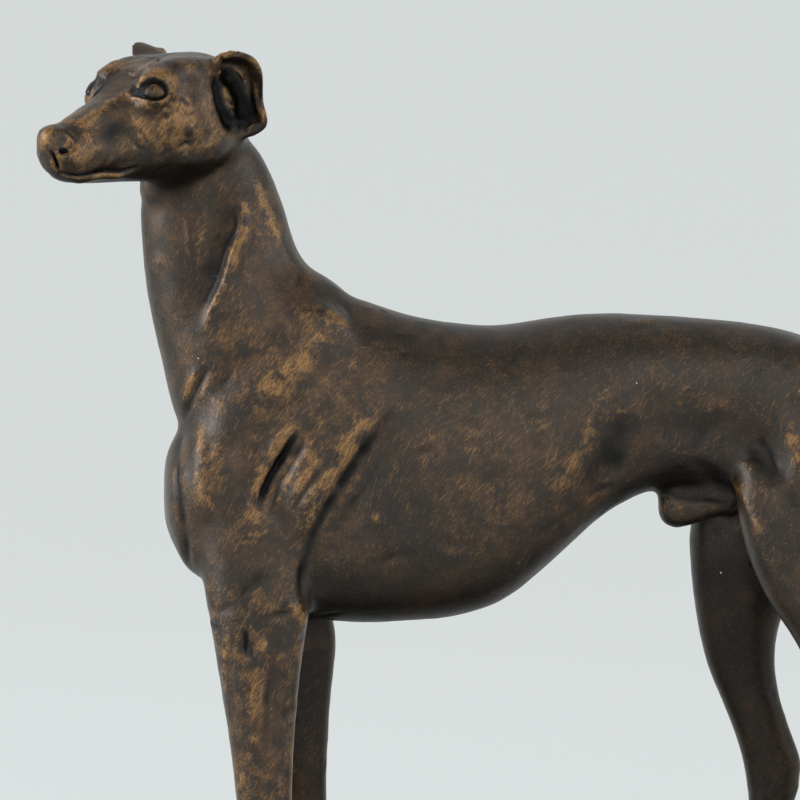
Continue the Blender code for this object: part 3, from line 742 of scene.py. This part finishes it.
# Fewer triangles, most of them left where the form is finest
def thinFigure(figure):
    mesh = figure.data
    count = sum(len(face.vertices) - 2 for face in mesh.polygons)
    fewer = figure.modifiers.new("fewer", "DECIMATE")
    fewer.ratio = min(1.0, fineness["triangles"] / count)
    fewer.use_collapse_triangulate = True
    figure.data = applied(figure)
    figure.data.shade_smooth()
    print("figure thinned", len(figure.data.polygons))


# sRGB hex to the linear values that shaders take
def toLinear(colour):
    parts = [int(colour[i : i + 2], 16) / 255 for i in (1, 3, 5)]
    return tuple(c / 12.92 if c <= 0.04045 else ((c + 0.055) / 1.055) ** 2.4 for c in parts) + (1.0,)


# Adds one node: its settings, then its inputs in their order or by name. An input is a value,
# a socket to link from, or a node whose first output is linked.
def addNode(tree, kind, settings=None, *values, **named):
    node = tree.nodes.new(kind)
    for name, value in (settings or {}).items():
        setattr(node, name, value)
    places = dict(enumerate(values))
    places.update((name.replace("_", " "), value) for name, value in named.items())
    for place, value in places.items():
        if isinstance(value, bpy.types.Node):
            value = value.outputs[0]
        if isinstance(value, bpy.types.NodeSocket):
            tree.links.new(value, node.inputs[place])
        else:
            node.inputs[place].default_value = value
    return node


# Cold-cast bronze: bronze powder in resin, stained dark brown, then rubbed back so that
# the high places turn gold-brown; a thin wax gives the satin gloss
bronze = {
    "dark": "#211a14",
    "brown": "#4a3420",
    "gold": "#91693a",
    "black": "#0a0908",
    # patterns: size in mm, detail, roughness, how long its marks are, and their turn in degrees;
    # real scratches are finer, and these are as coarse as they need to be to show
    "patterns": {
        "clouds": (17.0, 4.0, 0.6, (1, 1, 1), (0, 0, 0)),  # the patina's cloudy patches
        "mottle": (4.5, 5.0, 0.62, (1, 1, 1), (0, 0, 0)),  # its smaller patches
        "flecks": (0.9, 6.0, 0.72, (1, 1, 1), (0, 0, 0)),  # what a cloth leaves
        "scratches": (0.35, 2.0, 0.6, (11, 1, 1), (0, -40, 8)),
        "crossed": (0.35, 2.0, 0.6, (1, 1, 11), (0, 22, -6)),  # scratches the other way
        "grit": (0.45, 2.0, 0.6, (1, 1, 1), (0, 0, 0)),  # the casting's grain
    },
    # where each pattern starts to show and where it shows fully
    "cloudEdge": (0.38, 0.68),
    "mottleEdge": (0.36, 0.62),
    "fleckEdge": (0.30, 0.58),
    "streakEdge": (0.60, 0.72),
    "stainEdge": (0.12, 0.75),
    "pit": 2.6,  # between small pits
    "pitEdge": (0.05, 0.22),
    # flaws: how far apart, how long, their turn, their rim, how few cells have one, and the colour
    "flaws": {
        "dust": (9.0, 1, 0, (0.034, 0.022), (0.72, 0.74), "#b9b6ae"),
        "nicks": (5.0, 16, 38, (0.022, 0.014), (0.80, 0.82), "#a8a298"),
    },
    "warmth": (0.55, 0.5, 0.25),  # from the hand and the painted light on the head, from the clouds, and what the mottle leaves
    "rub": (0.32, 0.8, 0.2),  # from the hand and the painted light on the head, on ridges, and what the mottle leaves
    "fleck": (0.5, 0.3),  # the flecks' own share, and the rubbing's share in them
    "streak": (0.16, 0.18),  # how the rubbing widens the streaks, and how strong they are without it
    "cloth": 0.42,  # how strongly the flecks are rubbed
    "mostRubbed": 0.8,
    "unlit": 0.72,  # how dark the painted shade under the body and on the legs' inner sides is
    "metallic": 0.4,
    "roughness": (0.24, 0.28),  # how much the mottle changes it, and its least
    "gloss": (-0.42, 0.5),  # what the dull places lose, and what the rest has
    "wax": (-0.24, 0.26),
    "waxRoughness": 0.34,
    "cutsDull": 0.9,
    "relief": 0.26,  # mm, of the scratches, grain and pits
    "reliefShares": (0.4, 0.6, 0.3),  # grit on the scratches, both together, and the pits
}


def patinatedBronze():
    material = bpy.data.materials.new("patinatedColdCastBronze")
    material.use_nodes = True
    tree = material.node_tree
    shader = tree.nodes["Principled BSDF"]
    plus, times, timesPlus, larger, smaller = [
        {"operation": name} for name in ("ADD", "MULTIPLY", "MULTIPLY_ADD", "MAXIMUM", "MINIMUM")
    ]
    soft = {"interpolation_type": "SMOOTHSTEP"}
    turnedTo = {"vector_type": "TEXTURE"}
    place = addNode(tree, "ShaderNodeTexCoord").outputs["Object"]
    worn, sunk, rubbedAndLit, paintedShade = [
        addNode(tree, "ShaderNodeAttribute", {"attribute_name": name}).outputs["Fac"]
        for name in ("worn", "sunk", "rubbedAndLit", "paintedShade")
    ]
    pattern = {}
    for name, (size, detail, rough, long, turned) in bronze["patterns"].items():
        mapped = addNode(tree, "ShaderNodeMapping", turnedTo, Vector=place)
        mapped.inputs["Rotation"].default_value = [math.radians(angle) for angle in turned]
        mapped.inputs["Scale"].default_value = [share * size * mm for share in long]
        noise = addNode(tree, "ShaderNodeTexNoise", Vector=mapped, Scale=1.0, Detail=detail)
        noise.inputs["Roughness"].default_value = rough
        pattern[name] = noise.outputs["Fac"]
    clouds = addNode(tree, "ShaderNodeMapRange", soft, pattern["clouds"], *bronze["cloudEdge"])
    mottle = addNode(tree, "ShaderNodeMapRange", soft, pattern["mottle"], *bronze["mottleEdge"])

    # the stain: cloudy dark browns, warmer where hands and cloths reach, and on the cheek and muzzle
    # where light is painted
    hand, cloudy, least = bronze["warmth"]
    warmth = addNode(tree, "ShaderNodeMath", times, rubbedAndLit, hand)
    warmth = addNode(tree, "ShaderNodeMath", timesPlus, clouds, cloudy, warmth)
    patchy = addNode(tree, "ShaderNodeMath", plus, mottle, least)
    warmth = addNode(tree, "ShaderNodeMath", times, warmth, patchy)

    # the rubbing: soft where a cloth went over it and where light is painted on the cheek and muzzle,
    # and fine slanting streaks on the high places
    hand, ridges, least = bronze["rub"]
    reach = addNode(tree, "ShaderNodeMath", times, rubbedAndLit, hand)
    reach = addNode(tree, "ShaderNodeMath", timesPlus, worn, ridges, reach)
    patchy = addNode(tree, "ShaderNodeMath", plus, mottle, least)
    reach = addNode(tree, "ShaderNodeMath", times, reach, patchy)
    reach = addNode(tree, "ShaderNodeMath", smaller, reach, bronze["mostRubbed"])
    own, helped = bronze["fleck"]
    flecks = addNode(tree, "ShaderNodeMath", times, pattern["flecks"], own)
    flecks = addNode(tree, "ShaderNodeMath", timesPlus, reach, helped, flecks)
    flecks = addNode(tree, "ShaderNodeMapRange", soft, flecks, *bronze["fleckEdge"])
    flecks = addNode(tree, "ShaderNodeMath", times, flecks, bronze["cloth"])
    grain = addNode(tree, "ShaderNodeMath", larger, pattern["scratches"], pattern["crossed"])
    wider, least = bronze["streak"]
    streaks = addNode(tree, "ShaderNodeMath", timesPlus, reach, wider, grain)
    streaks = addNode(tree, "ShaderNodeMapRange", soft, streaks, *bronze["streakEdge"])
    strong = addNode(tree, "ShaderNodeMath", plus, reach, least)
    streaks = addNode(tree, "ShaderNodeMath", times, streaks, strong)
    rubbed = addNode(tree, "ShaderNodeMath", larger, flecks, streaks)

    # what lies over the dark ground, from the bottom up
    # painted shade: near black over the undersides and the legs' inner sides
    unlit = addNode(tree, "ShaderNodeMath", times, paintedShade, bronze["unlit"])
    stained = addNode(tree, "ShaderNodeMapRange", soft, sunk, *bronze["stainEdge"])
    layers = [
        (warmth, bronze["brown"]),
        (rubbed, bronze["gold"]),
        (unlit, bronze["black"]),
        (stained, bronze["black"]),
    ]
    # a few specks of dust and fine nicks that a studio's light picks out
    for size, long, turned, rim, few, colour in bronze["flaws"].values():
        mapped = addNode(tree, "ShaderNodeMapping", turnedTo, Vector=place)
        mapped.inputs["Rotation"].default_value = [0, math.radians(turned), 0]
        mapped.inputs["Scale"].default_value = [long, 1, 1]
        cells = addNode(tree, "ShaderNodeTexVoronoi", Vector=mapped, Scale=1 / (size * mm))
        near = addNode(tree, "ShaderNodeMapRange", soft, cells.outputs["Distance"], *rim)
        number = addNode(tree, "ShaderNodeSeparateColor", None, cells.outputs["Color"])
        chosen = addNode(tree, "ShaderNodeMapRange", soft, number, *few)
        layers.append((addNode(tree, "ShaderNodeMath", times, near, chosen), colour))
    shown = toLinear(bronze["dark"])
    for share, colour in layers:
        layer = addNode(tree, "ShaderNodeMix", {"data_type": "RGBA"}, share)
        if isinstance(shown, bpy.types.NodeSocket):
            tree.links.new(shown, layer.inputs[6])
        else:
            layer.inputs[6].default_value = shown
        layer.inputs[7].default_value = toLinear(colour)
        shown = layer.outputs[2]

    # dull in the cuts and in the painted shade under the body and inside the legs, waxed elsewhere
    rough = addNode(tree, "ShaderNodeMath", timesPlus, pattern["mottle"], *bronze["roughness"])
    dull = addNode(tree, "ShaderNodeMath", times, sunk, bronze["cutsDull"])
    dull = addNode(tree, "ShaderNodeMath", larger, paintedShade, dull)
    gloss = addNode(tree, "ShaderNodeMath", timesPlus, dull, *bronze["gloss"])
    wax = addNode(tree, "ShaderNodeMath", timesPlus, dull, *bronze["wax"])
    cells = addNode(tree, "ShaderNodeTexVoronoi", Vector=place, Scale=1 / (bronze["pit"] * mm))
    pits = addNode(tree, "ShaderNodeMapRange", soft, cells.outputs["Distance"], *bronze["pitEdge"])
    gritty, both, pitted = bronze["reliefShares"]
    relief = addNode(tree, "ShaderNodeMath", timesPlus, pattern["grit"], gritty, grain)
    relief = addNode(tree, "ShaderNodeMath", times, relief, both)
    relief = addNode(tree, "ShaderNodeMath", timesPlus, pits, pitted, relief)
    bumpy = addNode(tree, "ShaderNodeBump", Strength=0.6, Distance=bronze["relief"] * mm, Height=relief)
    tree.links.new(shown, shader.inputs["Base Color"])
    tree.links.new(rough.outputs[0], shader.inputs["Roughness"])
    tree.links.new(gloss.outputs[0], shader.inputs["Specular IOR Level"])
    tree.links.new(wax.outputs[0], shader.inputs["Coat Weight"])
    tree.links.new(bumpy.outputs[0], shader.inputs["Normal"])
    shader.inputs["Coat Roughness"].default_value = bronze["waxRoughness"]
    shader.inputs["Metallic"].default_value = bronze["metallic"]
    return material


# Claws: one small horn shape on every toe, placed by a tree of nodes
claws = {
    "long": 3.0,
    "wide": 1.5,
    "tip": 0.4,  # the tip's width as a share of the root's
    "down": 26.0,  # degrees below level
    "place": (-13.3, 2.9),  # ahead of the foot's middle and above the plinth
    "late": (2.6, 1.4),  # how much further back the outer toes end, and how suddenly
    "varied": (0.88, 1.1),  # from the smallest to the largest
    "sides": 20,
    "seed": 5,
}


def clawPoints():
    rows = []
    ahead, up = claws["place"]
    late, sudden = claws["late"]
    for x, y, side in feet["places"]:
        place = footPlace(x, y, side)
        for across in feet["toeCentres"]:
            back = late * (abs(across) / max(feet["toeCentres"])) ** sudden
            rows.append(place @ Vector((ahead + back, across, up)))
    mesh = bpy.data.meshes.new("clawPlaces")
    mesh.from_pydata([tuple(Vector(row) * mm) for row in rows], [], [])
    return mesh


def clawTree(metal):
    tree = bpy.data.node_groups.new("clawTree", "GeometryNodeTree")
    tree.interface.new_socket("Toes", in_out="INPUT", socket_type="NodeSocketGeometry")
    for name in ("Length", "Width", "Tip", "Pitch"):
        tree.interface.new_socket(name, in_out="INPUT", socket_type="NodeSocketFloat")
    tree.interface.new_socket("Seed", in_out="INPUT", socket_type="NodeSocketInt")
    tree.interface.new_socket("Claws", in_out="OUTPUT", socket_type="NodeSocketGeometry")
    start = tree.nodes.new("NodeGroupInput").outputs
    times = {"operation": "MULTIPLY"}
    ball = addNode(tree, "GeometryNodeMeshUVSphere", Segments=claws["sides"], Rings=14, Radius=0.5)
    spot = addNode(tree, "GeometryNodeInputPosition")
    along = addNode(tree, "ShaderNodeSeparateXYZ", None, spot)
    taper = addNode(tree, "ShaderNodeMapRange", None, along, -0.5, 0.5, start["Tip"], 1.0)
    wide = addNode(tree, "ShaderNodeMath", times, start["Width"], taper)
    sizes = addNode(tree, "ShaderNodeCombineXYZ", None, start["Length"], wide, wide)
    shaped = addNode(tree, "ShaderNodeVectorMath", times, spot, sizes)
    horn = addNode(tree, "GeometryNodeSetPosition", Geometry=ball, Position=shaped)
    varied = addNode(tree, "FunctionNodeRandomValue", {"data_type": "FLOAT"}, Seed=start["Seed"])
    varied.inputs[2].default_value, varied.inputs[3].default_value = claws["varied"]
    turned = addNode(tree, "ShaderNodeCombineXYZ", Y=start["Pitch"])
    many = addNode(tree, "GeometryNodeInstanceOnPoints", Points=start["Toes"], Instance=horn)
    tree.links.new(turned.outputs[0], many.inputs["Rotation"])
    tree.links.new(varied.outputs[1], many.inputs["Scale"])
    single = addNode(tree, "GeometryNodeRealizeInstances", Geometry=many)
    smooth = addNode(tree, "GeometryNodeSetShadeSmooth", Geometry=single)
    dressed = addNode(tree, "GeometryNodeSetMaterial", Geometry=smooth, Material=metal)
    end = tree.nodes.new("NodeGroupOutput")
    tree.links.new(dressed.outputs[0], end.inputs[0])
    return tree


def makeClaws(metal):
    thing = bpy.data.objects.new("castClaws", clawPoints())
    bpy.context.scene.collection.objects.link(thing)
    maker = thing.modifiers.new("claws", "NODES")
    maker.node_group = clawTree(metal)
    values = {
        "Length": claws["long"] * mm,
        "Width": claws["wide"] * mm,
        "Tip": claws["tip"],
        "Pitch": math.radians(-claws["down"]),
        "Seed": claws["seed"],
    }
    for item in maker.node_group.interface.items_tree:
        if item.name in values and item.in_out == "INPUT":
            maker[item.identifier] = values[item.name]
    thing.data = applied(thing)
    print("claws made", len(thing.data.polygons))
    return thing


# The pale room: a bowl that sweeps up all round, so that no horizon shows
studio = {
    "paper": "#8f9392",
    "light": "#e0e4e3",
    "glow": 0.64,  # the room's own light, as a light tent has
    "radius": 2400.0,
    "sweep": 1500.0,
    "height": 2300.0,
    "flatRings": 5,
    "sweepRings": 16,
    "around": 96,
    "world": "#e6ecec",
    "worldStrength": 0.4,
    # soft lights: where they are, where they aim, how large in mm, watts and colour
    "lights": {
        "topSoft": ((-150, 350, 1500), (0, 0, 120), (1300, 1300), 2.2, "#ffffff"),
        "leftSoft": ((-1250, -350, 620), (-70, 0, 140), (800, 1000), 13.5, "#f6f9ff"),
        "frontSoft": ((260, -1350, 640), (-40, 0, 130), (900, 800), 2.2, "#fffdf8"),
        "rightSoft": ((1200, -700, 560), (-40, 0, 150), (800, 800), 3.6, "#f8faff"),
    },
}


def makeRoom():
    profile = [(0.001, 0)]
    flat = studio["radius"] - studio["sweep"]
    for i in range(studio["flatRings"]):
        profile.append((flat * (i + 1) / studio["flatRings"], 0))
    for i in range(studio["sweepRings"]):
        turn = math.radians(90 * (i + 1) / studio["sweepRings"])
        profile.append((flat + studio["sweep"] * math.sin(turn), studio["sweep"] * (1 - math.cos(turn))))
    profile.append((studio["radius"], studio["height"]))
    bowl = bmesh.new()
    points = [bowl.verts.new((x * mm, 0, z * mm)) for x, z in profile]
    for a, b in zip(points, points[1:]):
        bowl.edges.new((a, b))
    geometry = bowl.verts[:] + bowl.edges[:]
    whole = 2 * math.pi
    steps = studio["around"]
    bmesh.ops.spin(bowl, geom=geometry, cent=(0, 0, 0), axis=(0, 0, 1), angle=whole, steps=steps)
    bmesh.ops.remove_doubles(bowl, verts=bowl.verts, dist=1e-5)
    bmesh.ops.recalc_face_normals(bowl, faces=bowl.faces)
    mesh = bpy.data.meshes.new("paleRoom")
    bowl.to_mesh(mesh)
    bowl.free()
    mesh.shade_smooth()
    room = bpy.data.objects.new("paleRoom", mesh)
    bpy.context.scene.collection.objects.link(room)
    paint = bpy.data.materials.new("mattePaperBackdrop")
    paint.use_nodes = True
    shader = paint.node_tree.nodes["Principled BSDF"]
    shader.inputs["Base Color"].default_value = toLinear(studio["paper"])
    shader.inputs["Roughness"].default_value = 0.9
    shader.inputs["Specular IOR Level"].default_value = 0.1
    shader.inputs["Emission Color"].default_value = toLinear(studio["light"])
    shader.inputs["Emission Strength"].default_value = studio["glow"]
    mesh.materials.append(paint)


def makeLight(name, at, aim, size, power, colour):
    data = bpy.data.lights.new(name, "AREA")
    data.shape = "RECTANGLE"
    data.size, data.size_y = size[0] * mm, size[1] * mm
    data.energy = power
    data.color = toLinear(colour)[:3]
    light = bpy.data.objects.new(name, data)
    light.location = Vector(at) * mm
    way = Vector(aim) - Vector(at)
    light.rotation_euler = way.to_track_quat("-Z", "Y").to_euler()
    bpy.context.scene.collection.objects.link(light)


def makeLights():
    world = bpy.data.worlds.new("paleSky")
    world.use_nodes = True
    sky = world.node_tree.nodes["Background"]
    sky.inputs["Color"].default_value = toLinear(studio["world"])
    sky.inputs["Strength"].default_value = studio["worldStrength"]
    bpy.context.scene.world = world
    for name, values in studio["lights"].items():
        makeLight(name, *values)


bpy.context.scene.view_settings.view_transform = "Standard"
makeCamera()
makeRoom()
makeLights()
metal = patinatedBronze()
figure = modelFigure(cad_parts["greyhound"])
thinFigure(figure)
figure.data.materials.clear()
figure.data.materials.append(metal)
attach(figure, "root")
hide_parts("greyhound")

nails = makeClaws(metal)
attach(nails, "root")

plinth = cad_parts["plinth"]
plinth.data.materials.clear()
plinth.data.materials.append(metal)
